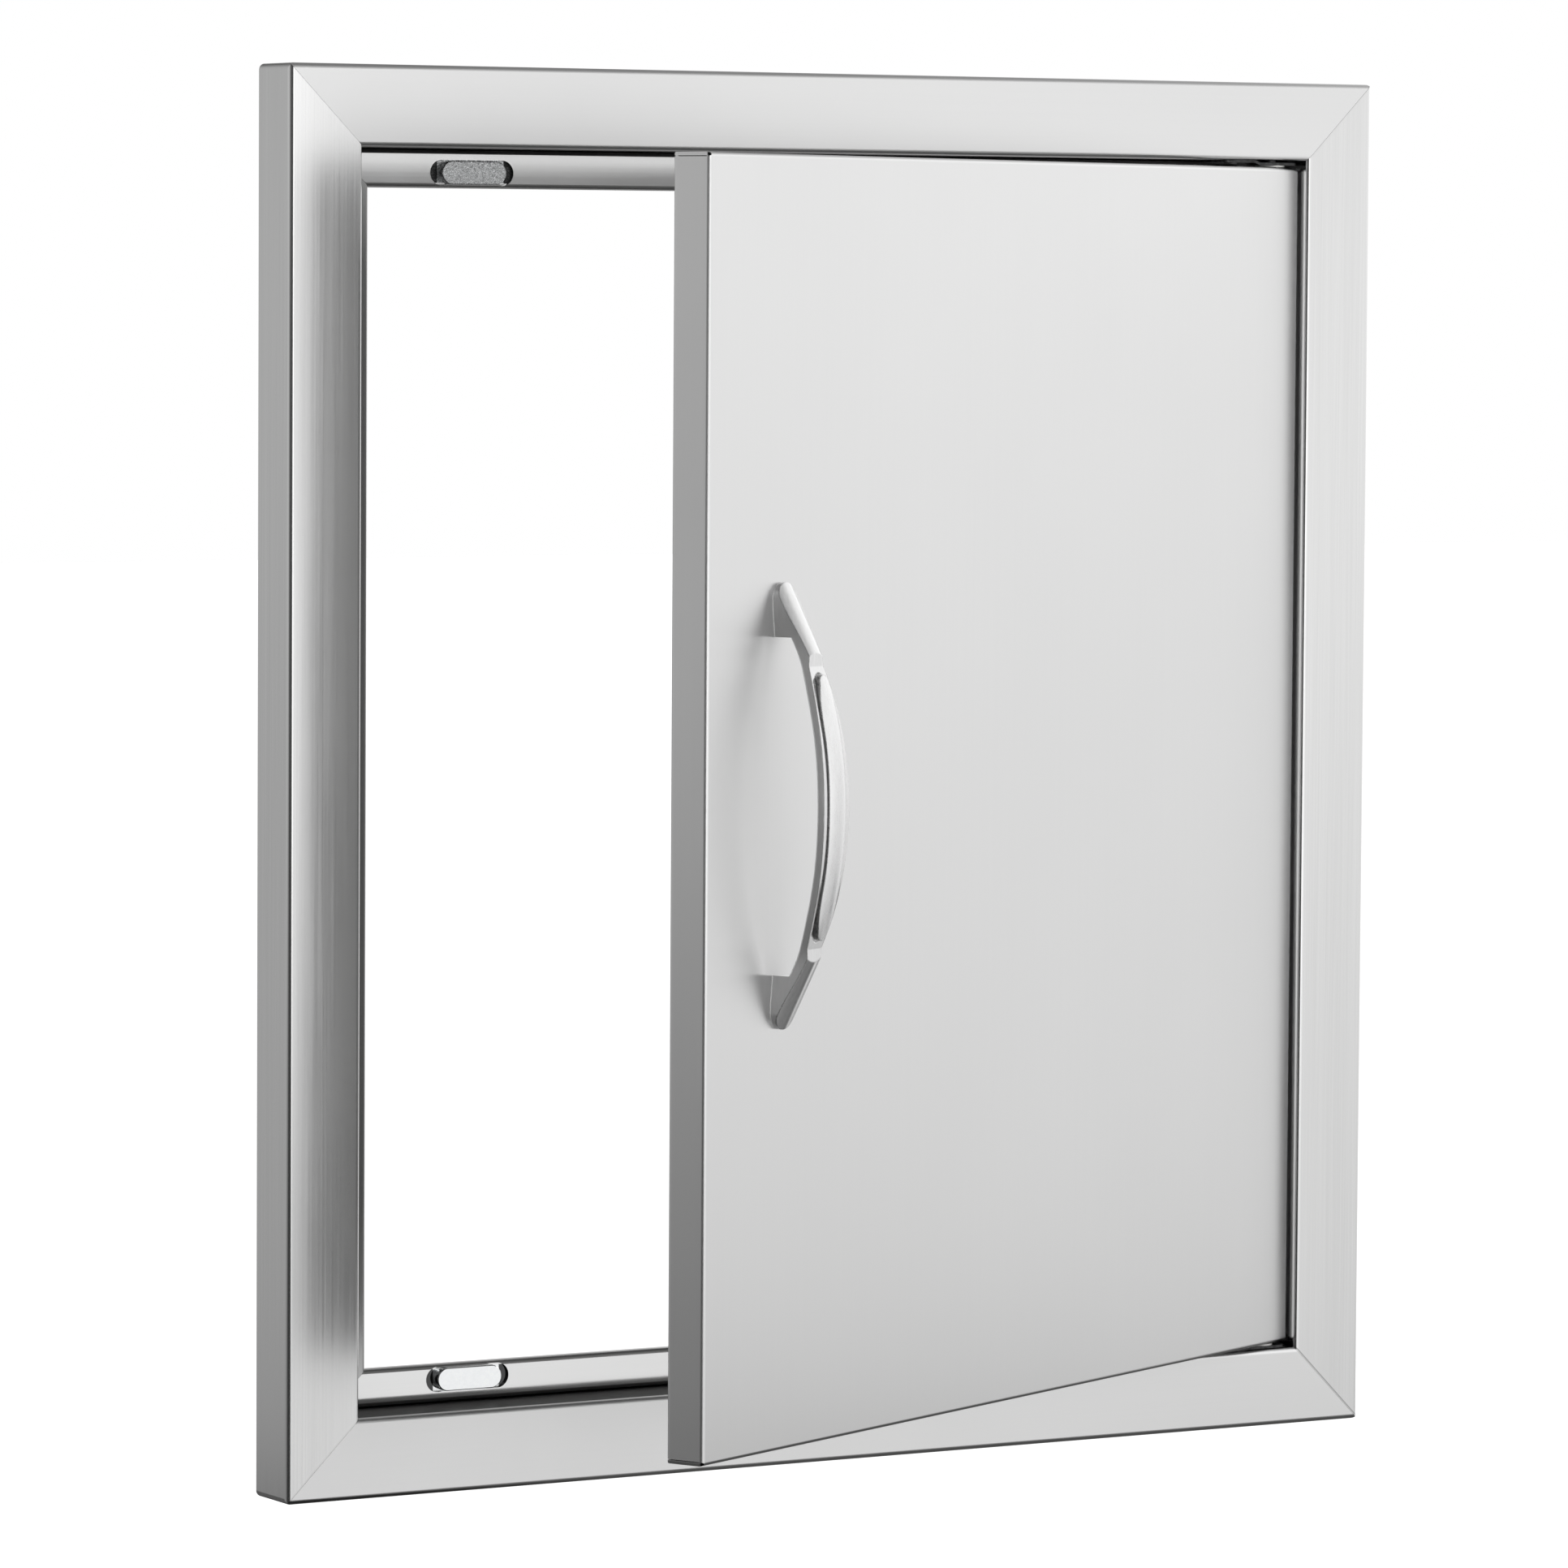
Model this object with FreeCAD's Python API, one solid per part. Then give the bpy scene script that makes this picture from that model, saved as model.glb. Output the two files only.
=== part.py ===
"""Stainless steel access door for an outdoor kitchen island, standing ajar.

A raised trim frame of four mitred folded members is screwed into a wall cut-out.
Stop angles inside it carry two magnetic catches, and a lined door pan with an
arched pull turns on two pivot pins near its right edge.

X runs along the width (the hinges are at +X), Y into the wall, and Z up. The
origin is the middle of the opening, in the plane where the trim bears on the wall.
All lengths are in millimetres and all angles in degrees.
"""
import FreeCAD, Part
import math
import os

V = FreeCAD.Vector
X_AXIS = V(1, 0, 0)
Y_AXIS = V(0, 1, 0)
Z_AXIS = V(0, 0, 1)

# Trim frame and its sleeve
frame_width = 457.2
frame_height = 508.0
trim_width = 29.0
trim_depth = 24.0
sleeve_depth = 32.0
frame_sheet = 1.2
frame_bend = 1.8
ground_corner = 2.2
mitre_gap = 0.12

# Screw holes through the sleeve, for fixing it in the wall
screw_hole_radius = 2.6
screw_hole_depth = 20.0
stile_hole_spacing = 300.0
rail_hole_spacing = 250.0

# Stop angles that the closed door faces
stop_setback = 22.5
stop_width = 14.0
stop_leg = 12.0
stop_hem = 3.2
stop_sheet = 1.2
stop_bend = 1.8

# Magnetic catches in the top and bottom stops
catch_from_edge = 84.1
catch_inset = 5.6
catch_length = 26.0
catch_height = 8.3
catch_proud = 2.0
catch_wall = 0.6
catch_end_gap = 3.8
catch_side_gap = 0.4
catch_flange = 3.4
catch_flange_reach = 6.0
catch_flange_thickness = 0.8

# Door pan
door_side_gap = 2.4
door_top_gap = 2.8
door_bottom_gap = 2.2
door_depth = 15.1
door_sheet = 1.0
door_bend = 1.4
door_hem = 14.0
seam_width = 0.3
seam_inset = 1.2
relief_radius = 0.7
open_angle = 26.0

# Door liner, pressed in at its middle
liner_sheet = 0.8
liner_clearance = 0.4
liner_press = 2.5
liner_border = 30.0
liner_slope = 6.0
liner_corner = 12.0

# Hat channel that stiffens the door
stiffener_length = 380.0
stiffener_crown = 30.0
stiffener_foot = 10.0
stiffener_sheet = 0.8
stiffener_bend = 1.4

# Pivots
hinge_inset = 10.0
hinge_setback = 7.0
pin_radius = 2.5
pin_engagement = 12.0
pin_head_radius = 4.6
pin_head_height = 2.6
bush_wall = 1.5
bush_collar_radius = 6.0
bush_collar = 0.9
fit_clearance = 0.05
seat_clearance = 0.3
washer_radius = 5.5
washer_thickness = 0.6
plate_thickness = 1.0
plate_length = 34.0
plate_depth = 16.0
plate_setback = 1.5
plate_end = 9.5
plate_joggle_run = 2.4
plate_bend = 1.5
plate_corner = 3.0
plate_rivet_radius = 1.6
plate_rivet_head_radius = 2.6
plate_rivet_head_height = 0.5
plate_rivet_formed_height = 1.2
plate_rivet_spacing = 8.0
plate_rivet_inset = 6.0

# Pivot channels inside the door
pivot_channel_length = 34.0
pivot_channel_height = 14.0
pivot_channel_sheet = 1.5
pivot_channel_bend = 2.0

# Strike plates on the back of the door
strike_length = 30.0
strike_foot = 9.0
strike_width = 8.0
strike_sheet = 1.0
strike_gap = 0.5
strike_slope_run = 3.0
strike_bend = 1.4
strike_rivet_radius = 1.2
strike_rivet_head_radius = 2.3
strike_rivet_head_height = 0.8

# Arched pull
handle_inset = 45.0
handle_length = 153.6
handle_clearance = 20.4
foot_length = 18.8
foot_height = 6.9
tip_height = 1.7
leg_width = 11.6
leg_crest_radius = 14.0
nose_length = 5.5
facet_height = 14.3
facet_length = 4.7
grip_length = 96.4
grip_rise = 23.2
grip_width = 15.6
shoulder_width = 8.8
waist_width = 8.2

# Oval inlay in the grip
inlay_length = 91.0
inlay_width = 10.4
inlay_end_width = 5.2
inlay_depth = 1.2
inlay_crown = 1.8
inlay_groove = 0.65

# Fixings of the pull
handle_hole_spacing = 125.0
handle_screw_radius = 2.0
handle_screw_grip = 5.0
handle_screw_head_radius = 3.7
handle_screw_head_height = 2.2
handle_washer_radius = 4.6
handle_washer_thickness = 0.8
backing_margin = 0.8
backing_width = 20.0
backing_thickness = 1.5

# Planes across the wall
front_y = -trim_depth
stop_y = front_y + stop_setback
sleeve_y = sleeve_depth
door_back_y = front_y + door_depth

# The opening between the jambs, and the closed door in it
jamb_x = frame_width / 2 - trim_width
jamb_z = frame_height / 2 - trim_width
door_right = jamb_x - door_side_gap
door_left = -door_right
door_top = jamb_z - door_top_gap
door_bottom = -jamb_z + door_bottom_gap
door_width = door_right - door_left
door_mid_z = (door_top + door_bottom) / 2

# The hinge axis, which is vertical
hinge_x = door_right - hinge_inset
hinge_y = front_y + hinge_setback

# Magnetic catches
catch_x = -frame_width / 2 + catch_from_edge
catch_z = jamb_z - stop_width + catch_inset

# Both ends of the arched pull
handle_x = door_left + handle_inset
handle_end = handle_length / 2
foot_inner = handle_end - foot_length
grip_end = grip_length / 2


def box(x0, x1, y0, y1, z0, z1):
    return Part.makeBox(x1 - x0, y1 - y0, z1 - z0, V(x0, y0, z0))


def cylinder(radius, start, end):
    return Part.makeCylinder(radius, (end - start).Length, start, end - start)


def bent_wire(points, radii):
    """Straight runs through the points, joined by tangent arcs of the given radii."""
    edges = []
    start = points[0]
    for before, corner, after, radius in zip(points, points[1:], points[2:], radii):
        run_in = (corner - before).normalize()
        run_out = (after - corner).normalize()
        turn = run_in.getAngle(run_out)
        setback = radius * math.tan(turn / 2)
        arc_start = corner - run_in * setback
        arc_end = corner + run_out * setback
        inward = (run_out - run_in).normalize()
        middle = corner + inward * (radius / math.cos(turn / 2) - radius)
        edges.append(Part.LineSegment(start, arc_start).toShape())
        edges.append(Part.Arc(arc_start, middle, arc_end).toShape())
        start = arc_end
    edges.append(Part.LineSegment(start, points[-1]).toShape())
    return Part.Wire(edges)


def folded_section(points, thickness, bend, side):
    """The section of a folded sheet. One face runs through the points and the thickness
    lies on one side of it, run cross side. Every bend has the same outside radius."""
    shifted = []
    for index, point in enumerate(points):
        normals = []
        if index > 0:
            run = (point - points[index - 1]).normalize()
            normals.append(run.cross(side).normalize())
        if index < len(points) - 1:
            run = (points[index + 1] - point).normalize()
            normals.append(run.cross(side).normalize())
        if len(normals) == 1:
            offset = normals[0] * thickness
        else:
            bisector = (normals[0] + normals[1]).normalize()
            offset = bisector * (thickness / bisector.dot(normals[0]))
        shifted.append(point + offset)
    radii = []
    shifted_radii = []
    for before, corner, after in zip(points, points[1:], points[2:]):
        turn = (corner - before).cross(after - corner).dot(side)
        outside_first = turn < 0
        radii.append(bend if outside_first else bend - thickness)
        shifted_radii.append(bend - thickness if outside_first else bend)
    first = bent_wire(points, radii)
    second = bent_wire(shifted, shifted_radii)
    ends = [
        Part.LineSegment(points[0], shifted[0]).toShape(),
        Part.LineSegment(points[-1], shifted[-1]).toShape(),
    ]
    edges = Part.sortEdges(first.Edges + second.Edges + ends)[0]
    return Part.Face(Part.Wire(edges))


def rounded_outline(width, height, radius, y):
    """A rectangle with rounded corners, centred on the Y axis, at depth y."""
    corners = []
    for sx, sz in ((1, -1), (1, 1), (-1, 1), (-1, -1)):
        corners.append(V(sx * width / 2, y, sz * height / 2))
    first = (corners[0] + corners[3]) * 0.5
    wire = bent_wire([first] + corners + [first], [radius] * 4)
    return Part.Wire(wire.Edges)


def mitred(section, length, reach, distance):
    """A member along X with 45 degree ends. Its outer edge lies at the distance below
    the origin, and the section reaches up from there towards the opening."""
    run = section.copy()
    run.translate(V(-length / 2, 0, -distance))
    bar = run.extrude(V(length, 0, 0))
    half = length / 2 - mitre_gap / 2
    base = -distance
    corners = [
        V(-half, front_y - 1, base),
        V(half, front_y - 1, base),
        V(half - reach, front_y - 1, base + reach),
        V(-half + reach, front_y - 1, base + reach),
    ]
    cutter = Part.Face(Part.makePolygon(corners + corners[:1]))
    return bar.common(cutter.extrude(V(0, trim_depth + sleeve_depth + 2, 0)))


def four_sides(section, reach):
    """Bottom, top, left and right members of one mitred frame."""
    sides = {}
    for name, length, distance, angle in (
        ("bottom", frame_width, frame_height / 2, 0),
        ("top", frame_width, frame_height / 2, 180),
        ("left", frame_height, frame_width / 2, 90),
        ("right", frame_height, frame_width / 2, -90),
    ):
        member = mitred(section, length, reach, distance)
        member.rotate(V(0, 0, 0), Y_AXIS, angle)
        sides[name] = member
    return sides


def make_frame():
    """Trim members: outer return, raised front, and a jamb that runs on as the sleeve."""
    path = [
        V(0, 0, 0),
        V(0, front_y, 0),
        V(0, front_y, trim_width),
        V(0, sleeve_y, trim_width),
    ]
    section = folded_section(path, frame_sheet, frame_bend, X_AXIS)
    sides = four_sides(section, trim_width + 1)
    outline = Part.Face(rounded_outline(frame_width, frame_height, ground_corner, front_y - 1))
    ground = outline.extrude(V(0, trim_depth + sleeve_depth + 2, 0))
    sides = {name: member.common(ground) for name, member in sides.items()}

    half_z = frame_height / 2
    half_x = frame_width / 2
    for z in (-stile_hole_spacing / 2, stile_hole_spacing / 2):
        hole = cylinder(
            screw_hole_radius,
            V(-half_x, screw_hole_depth, z),
            V(half_x, screw_hole_depth, z),
        )
        sides["left"] = sides["left"].cut(hole)
        sides["right"] = sides["right"].cut(hole)
    for x in (-rail_hole_spacing / 2, rail_hole_spacing / 2):
        hole = cylinder(
            screw_hole_radius,
            V(x, screw_hole_depth, -half_z),
            V(x, screw_hole_depth, half_z),
        )
        sides["top"] = sides["top"].cut(hole)
        sides["bottom"] = sides["bottom"].cut(hole)
    pin_hole = cylinder(
        pin_radius + fit_clearance,
        V(hinge_x, hinge_y, -half_z + 2 * frame_bend),
        V(hinge_x, hinge_y, half_z - 2 * frame_bend),
    )
    rivet_holes = plate_rivet_shanks(fit_clearance)
    for name in ("top", "bottom"):
        sides[name] = sides[name].cut(pin_hole).cut(rivet_holes)
    return sides


def obround(length, height, y0, y1, x, z):
    """A flat bar with round ends along X, from depth y0 to y1."""
    radius = height / 2
    half = length / 2 - radius
    bar = box(x - half, x + half, y0, y1, z - radius, z + radius)
    for end in (x - half, x + half):
        bar = bar.fuse(cylinder(radius, V(end, y0, z), V(end, y1, z)))
    return bar.removeSplitter()


def make_stops():
    """Angles inside the sleeve, with a hemmed free edge and a slot for each catch."""
    free = trim_width + stop_width
    path = [
        V(0, stop_y + stop_leg, trim_width),
        V(0, stop_y, trim_width),
        V(0, stop_y, free),
        V(0, stop_y + stop_hem, free),
    ]
    section = folded_section(path, stop_sheet, stop_bend, X_AXIS)
    sides = four_sides(section, free + 1)
    slot_length = catch_length + 2 * catch_end_gap
    slot_height = catch_height + 2 * catch_side_gap
    for name, z in (("top", catch_z), ("bottom", -catch_z)):
        slot = obround(
            slot_length, slot_height, stop_y - 1, stop_y + stop_sheet + 0.01, catch_x, z
        )
        sides[name] = sides[name].cut(slot)
    return sides


def make_catch(z):
    """A plated cup that stands through its slot on a flange behind the stop, and the
    magnet block that fills it."""
    face = stop_y - catch_proud
    back = stop_y + stop_sheet
    cup = obround(catch_length, catch_height, face, back, catch_x, z)
    face_edges = []
    for edge in cup.Edges:
        if abs(edge.BoundBox.YMax - face) < 0.001:
            face_edges.append(edge)
    cup = cup.makeChamfer(catch_wall / 2, face_edges)
    # The flange ends before the bend of the stop's free edge
    to_edge = catch_inset - stop_bend - fit_clearance
    below, above = (to_edge, catch_flange_reach) if z > 0 else (catch_flange_reach, to_edge)
    low = z - below
    high = z + above
    half = catch_length / 2 + catch_end_gap + catch_flange
    flange = box(catch_x - half, catch_x + half, back, back + catch_flange_thickness, low, high)
    pocket_length = catch_length - 2 * catch_wall
    pocket_height = catch_height - 2 * catch_wall
    pocket_back = back + catch_flange_thickness
    pocket = obround(
        pocket_length, pocket_height, face + catch_wall, pocket_back, catch_x, z
    )
    housing = cup.fuse(flange).removeSplitter().cut(pocket)
    magnet = obround(
        pocket_length - 2 * fit_clearance,
        pocket_height - 2 * fit_clearance,
        face + catch_wall,
        pocket_back,
        catch_x,
        z,
    )
    return housing, magnet


def pan_shell(width, height, depth, sheet, bend):
    """Outside of the door pan, folded over at the front and at the back."""
    shell = Part.makeBox(width, depth, height, V(-width / 2, 0, -height / 2))
    rims = []
    for edge in shell.Edges:
        bounds = edge.BoundBox
        if bounds.YLength < 0.001:
            rims.append(edge)
    return shell.makeFillet(bend, rims)


def make_skin():
    """Door pan with its front, four side flanges and a hem round the back."""
    height = door_top - door_bottom
    outside = pan_shell(door_width, height, door_depth, door_sheet, door_bend)
    inner_width = door_width - 2 * door_sheet
    inner_height = height - 2 * door_sheet
    inner_depth = door_depth - 2 * door_sheet
    inside = pan_shell(
        inner_width, inner_height, inner_depth, door_sheet, door_bend - door_sheet
    )
    inside.translate(V(0, door_sheet, 0))
    mouth = box(
        -door_width / 2 + door_hem,
        door_width / 2 - door_hem,
        door_depth - 2 * door_sheet,
        door_depth + 1,
        -height / 2 + door_hem,
        height / 2 - door_hem,
    )
    skin = outside.cut(inside).cut(mouth)

    # Open corner seams, where the side flanges end below the top and bottom ones
    for sx in (-1, 1):
        for sz in (-1, 1):
            outer_x = sx * door_width / 2
            x_range = sorted((outer_x + sx, outer_x - sx * 1.5 * door_sheet))
            seam_z = sz * (height / 2 - seam_inset - seam_width / 2)
            seam = box(
                x_range[0],
                x_range[1],
                door_bend,
                door_depth + 1,
                seam_z - seam_width / 2,
                seam_z + seam_width / 2,
            )
            corner = V(outer_x, 0, sz * height / 2)
            inward = V(-sx, 1, -sz).normalize()
            relief = cylinder(
                relief_radius, corner - inward * 2, corner + inward * 3 * door_sheet
            )
            skin = skin.cut(seam).cut(relief)

    skin.translate(V(0, front_y, door_mid_z))
    for z_range in ((door_bottom - 1, door_bottom + 4), (door_top - 4, door_top + 1)):
        hole = cylinder(
            pin_radius + bush_wall + 2 * fit_clearance,
            V(hinge_x, hinge_y, z_range[0]),
            V(hinge_x, hinge_y, z_range[1]),
        )
        skin = skin.cut(hole)
    for z in handle_hole_heights():
        hole = cylinder(
            handle_screw_radius + fit_clearance,
            V(handle_x, front_y - 1, z),
            V(handle_x, front_y + 2 * door_sheet, z),
        )
        skin = skin.cut(hole)
    return skin.cut(strike_rivet_shanks(fit_clearance))


def handle_hole_heights():
    return (door_mid_z - handle_hole_spacing / 2, door_mid_z + handle_hole_spacing / 2)


def frustum(width, height, corner, y0, y1, shrink):
    """A block whose rounded outline shrinks evenly from depth y0 to y1."""
    front = rounded_outline(width, height, corner, y0)
    back = rounded_outline(width - 2 * shrink, height - 2 * shrink, corner, y1)
    return Part.makeLoft([front, back], True, True)


def make_liner():
    """Back panel inside the hem, with its middle pressed in towards the skin."""
    outer_width = door_width - 2 * (door_sheet + liner_clearance)
    outer_height = (door_top - door_bottom) - 2 * (door_sheet + liner_clearance)
    back = door_depth - door_sheet
    front = back - liner_sheet
    plate = box(-outer_width / 2, outer_width / 2, front, back, -outer_height / 2, outer_height / 2)
    field_width = outer_width - 2 * liner_border
    field_height = outer_height - 2 * liner_border
    skin_offset = 0.5 * liner_sheet
    bulge = frustum(
        field_width + 2 * skin_offset,
        field_height + 2 * skin_offset,
        liner_corner + skin_offset,
        front,
        front - liner_press,
        liner_slope,
    )
    pocket = frustum(
        field_width, field_height, liner_corner, back, back - liner_press, liner_slope
    )
    liner = plate.fuse(bulge).cut(pocket)
    liner.translate(V(0, front_y, door_mid_z))
    return liner.cut(strike_rivet_shanks(fit_clearance))


def make_stiffener():
    """Hat channel from the skin's inside to the liner's pressed field."""
    inside = front_y + door_sheet
    crown = door_back_y - door_sheet - liner_sheet - liner_press - stiffener_sheet
    half = stiffener_crown / 2
    foot = half + stiffener_foot
    path = [
        V(-foot, inside, 0),
        V(-half, inside, 0),
        V(-half, crown, 0),
        V(half, crown, 0),
        V(half, inside, 0),
        V(foot, inside, 0),
    ]
    section = folded_section(path, stiffener_sheet, stiffener_bend, -Z_AXIS)
    section.translate(V(0, 0, door_mid_z - stiffener_length / 2))
    return section.extrude(V(0, 0, stiffener_length))


def strike_places():
    reach = strike_length / 2 + strike_slope_run + strike_foot / 2
    places = []
    for z in (-catch_z, catch_z):
        places += [(catch_x - reach, z), (catch_x + reach, z)]
    return places


def strike_rivet_shanks(clearance):
    inner_y = door_back_y - door_sheet - liner_sheet
    shanks = []
    for x, z in strike_places():
        shanks.append(
            cylinder(
                strike_rivet_radius + clearance, V(x, inner_y, z), V(x, door_back_y, z)
            )
        )
    return Part.makeCompound(shanks)


def make_strike_rivets():
    solids = []
    for x, z in strike_places():
        seat = V(x, door_back_y + strike_sheet, z)
        inner = V(x, door_back_y - door_sheet - liner_sheet, z)
        shank = cylinder(strike_rivet_radius, inner, seat)
        top = cylinder(strike_rivet_head_radius, seat, seat + Y_AXIS * strike_rivet_head_height)
        solids.append(shank.fuse(top).removeSplitter())
    return Part.makeCompound(solids)


def make_strike(z):
    """A bridge of sheet on the door's hem that meets the catch when the door is shut."""
    height = (stop_y - catch_proud - strike_gap) - door_back_y
    half = strike_length / 2
    slope = half + strike_slope_run
    foot = slope + strike_foot
    outer = [
        V(-foot, strike_sheet, 0),
        V(-slope, strike_sheet, 0),
        V(-half, height, 0),
        V(half, height, 0),
        V(slope, strike_sheet, 0),
        V(foot, strike_sheet, 0),
    ]
    section = folded_section(outer, strike_sheet, strike_bend, Z_AXIS)
    bridge = section.extrude(V(0, 0, strike_width))
    bridge.translate(V(catch_x, door_back_y, z - strike_width / 2))
    ends = []
    for edge in bridge.Edges:
        bounds = edge.BoundBox
        at_end = bounds.XLength < 0.001 and abs(abs(bounds.XMin - catch_x) - foot) < 0.001
        if at_end and bounds.YLength > 0.5 * strike_sheet:
            ends.append(edge)
    bridge = bridge.makeFillet(0.35 * strike_width, ends)
    for x, place_z in strike_places():
        hole = cylinder(
            strike_rivet_radius + fit_clearance,
            V(x, door_back_y - 1, place_z),
            V(x, door_back_y + 3, place_z),
        )
        bridge = bridge.cut(hole)
    return bridge


def plate_height(gap):
    """How far the pivot plate steps off the jamb, so that it clears the door evenly."""
    return gap - plate_thickness - washer_thickness - seat_clearance


def plate_rivet_places():
    x = hinge_x + plate_end - plate_length + plate_rivet_inset
    middle = front_y + plate_setback + plate_depth / 2
    return [(x, middle - plate_rivet_spacing / 2), (x, middle + plate_rivet_spacing / 2)]


def plate_rivet_shanks(clearance):
    shanks = []
    for x, y in plate_rivet_places():
        for sign in (-1, 1):
            shanks.append(
                cylinder(
                    plate_rivet_radius + clearance,
                    V(x, y, sign * (jamb_z - plate_thickness)),
                    V(x, y, sign * (jamb_z + frame_sheet)),
                )
            )
    return Part.makeCompound(shanks)


def make_pivot(sign, gap):
    """Stepped plate, pin and washer of one pivot. The sign is 1 at the top of the door."""
    step = plate_height(gap)
    right = hinge_x + plate_end
    left = right - plate_length
    bend_x = hinge_x - washer_radius - plate_joggle_run
    level = jamb_z
    lower = jamb_z - step
    path = [
        V(left, 0, level - plate_thickness),
        V(bend_x - plate_joggle_run, 0, level - plate_thickness),
        V(bend_x, 0, lower - plate_thickness),
        V(right, 0, lower - plate_thickness),
    ]
    section = folded_section(path, plate_thickness, plate_bend, Y_AXIS)
    front = front_y + plate_setback
    section.translate(V(0, front, 0))
    plate = section.extrude(V(0, plate_depth, 0))
    corners = []
    for edge in plate.Edges:
        bounds = edge.BoundBox
        vertical = bounds.ZLength > 0.9 * plate_thickness and bounds.XLength < 0.001
        if vertical and bounds.YLength < 0.001:
            corners.append(edge)
    plate = plate.makeFillet(plate_corner, corners)
    hole = cylinder(
        pin_radius + fit_clearance,
        V(hinge_x, hinge_y, lower - 3),
        V(hinge_x, hinge_y, level + 3),
    )
    plate = plate.cut(hole)
    plate = plate.cut(plate_rivet_shanks(fit_clearance))

    door_edge = jamb_z - gap
    head_base = jamb_z + frame_sheet
    pin = cylinder(
        pin_radius,
        V(hinge_x, hinge_y, door_edge - pin_engagement),
        V(hinge_x, hinge_y, head_base),
    )
    tip = [edge for edge in pin.Edges if edge.BoundBox.ZMax < door_edge - pin_engagement + 0.01]
    pin = pin.makeChamfer(0.25 * pin_radius, [e for e in tip if e.Curve.TypeId == "Part::GeomCircle"])
    pin = pin.fuse(hexagon(pin_head_radius, pin_head_height, V(hinge_x, hinge_y, head_base)))

    washer_base = lower - plate_thickness - washer_thickness
    washer = cylinder(
        washer_radius,
        V(hinge_x, hinge_y, washer_base),
        V(hinge_x, hinge_y, washer_base + washer_thickness),
    )
    washer = washer.cut(hole)

    pieces = [plate, pin, washer]
    if sign < 0:
        pieces = [piece.mirror(V(0, 0, 0), Z_AXIS) for piece in pieces]
    return pieces


def hexagon(radius, height, base):
    points = []
    for index in range(7):
        angle = math.radians(60 * index)
        points.append(base + V(radius * math.cos(angle), radius * math.sin(angle), 0))
    return Part.Face(Part.makePolygon(points)).extrude(V(0, 0, height))


def make_plate_rivets():
    """Flat-headed rivets that hold both pivot plates to the rails."""
    solids = []
    for x, y in plate_rivet_places():
        for sign in (-1, 1):
            inside = V(x, y, sign * (jamb_z - plate_thickness))
            outside = V(x, y, sign * (jamb_z + frame_sheet))
            up = V(0, 0, sign)
            shank = cylinder(plate_rivet_radius, inside, outside)
            lower = cylinder(plate_rivet_head_radius, inside - up * plate_rivet_head_height, inside)
            upper = cylinder(plate_rivet_head_radius, outside, outside + up * plate_rivet_formed_height)
            solids.append(shank.fuse([lower, upper]).removeSplitter())
    return Part.makeCompound(solids)


def make_door_pivot(sign):
    """Channel inside the door end that holds the flanged bush on the hinge axis."""
    end = door_top if sign > 0 else door_bottom
    web = end - sign * door_sheet
    y0 = front_y + door_sheet
    y1 = door_back_y - door_sheet - liner_sheet - seat_clearance
    tip = web - sign * pivot_channel_height
    path = [V(0, y0, tip), V(0, y0, web), V(0, y1, web), V(0, y1, tip)]
    side = X_AXIS * sign
    section = folded_section(path, pivot_channel_sheet, pivot_channel_bend, side)
    right = door_right - door_sheet - liner_clearance
    section.translate(V(right - pivot_channel_length, 0, 0))
    channel = section.extrude(V(pivot_channel_length, 0, 0))
    bush_radius = pin_radius + fit_clearance + bush_wall
    inner = web - sign * pivot_channel_sheet
    hole = cylinder(
        bush_radius + fit_clearance,
        V(hinge_x, hinge_y, web + sign),
        V(hinge_x, hinge_y, inner - sign),
    )
    channel = channel.cut(hole)

    low = inner - sign * bush_collar
    sleeve = cylinder(bush_radius, V(hinge_x, hinge_y, low), V(hinge_x, hinge_y, end))
    collar = cylinder(
        bush_collar_radius, V(hinge_x, hinge_y, low), V(hinge_x, hinge_y, inner)
    )
    collar = collar.common(
        box(
            hinge_x - bush_collar_radius,
            hinge_x + bush_collar_radius,
            y0 + pivot_channel_bend + fit_clearance,
            y1 - pivot_channel_bend - fit_clearance,
            min(low, inner),
            max(low, inner),
        )
    )
    bore = cylinder(
        pin_radius + fit_clearance,
        V(hinge_x, hinge_y, low - sign),
        V(hinge_x, hinge_y, end + sign),
    )
    bush = sleeve.fuse(collar).removeSplitter().cut(bore)
    return channel, bush


def spline(points):
    curve = Part.BSplineCurve()
    curve.interpolate(points)
    return curve.toShape()


def smooth_outline(chains, tip):
    """A closed outline in the door's front plane, alike on all four quarters. A chain is
    (height, half width) points of a smooth curve up one side; the first starts at the
    middle. An arc over the last point closes each tip."""
    edges = []
    first, others = chains[0], chains[1:]
    for side in (-1, 1):
        lower = [V(side * width, 0, -height) for height, width in reversed(first)]
        upper = [V(side * width, 0, height) for height, width in first[1:]]
        edges.append(spline(lower + upper))
        for chain in others:
            for end in (-1, 1):
                edges.append(spline([V(side * width, 0, end * height) for height, width in chain]))
    height, width = chains[-1][-1]
    for end in (-1, 1):
        start = V(-width, 0, end * height)
        finish = V(width, 0, end * height)
        edges.append(Part.Arc(start, V(0, 0, end * tip), finish).toShape())
    return Part.Wire(Part.sortEdges(edges)[0])


def prism(outline):
    """A block that stands out of the door's front plane on the given outline."""
    return Part.Face(outline).extrude(V(0, -2 * grip_rise, 0))


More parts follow.
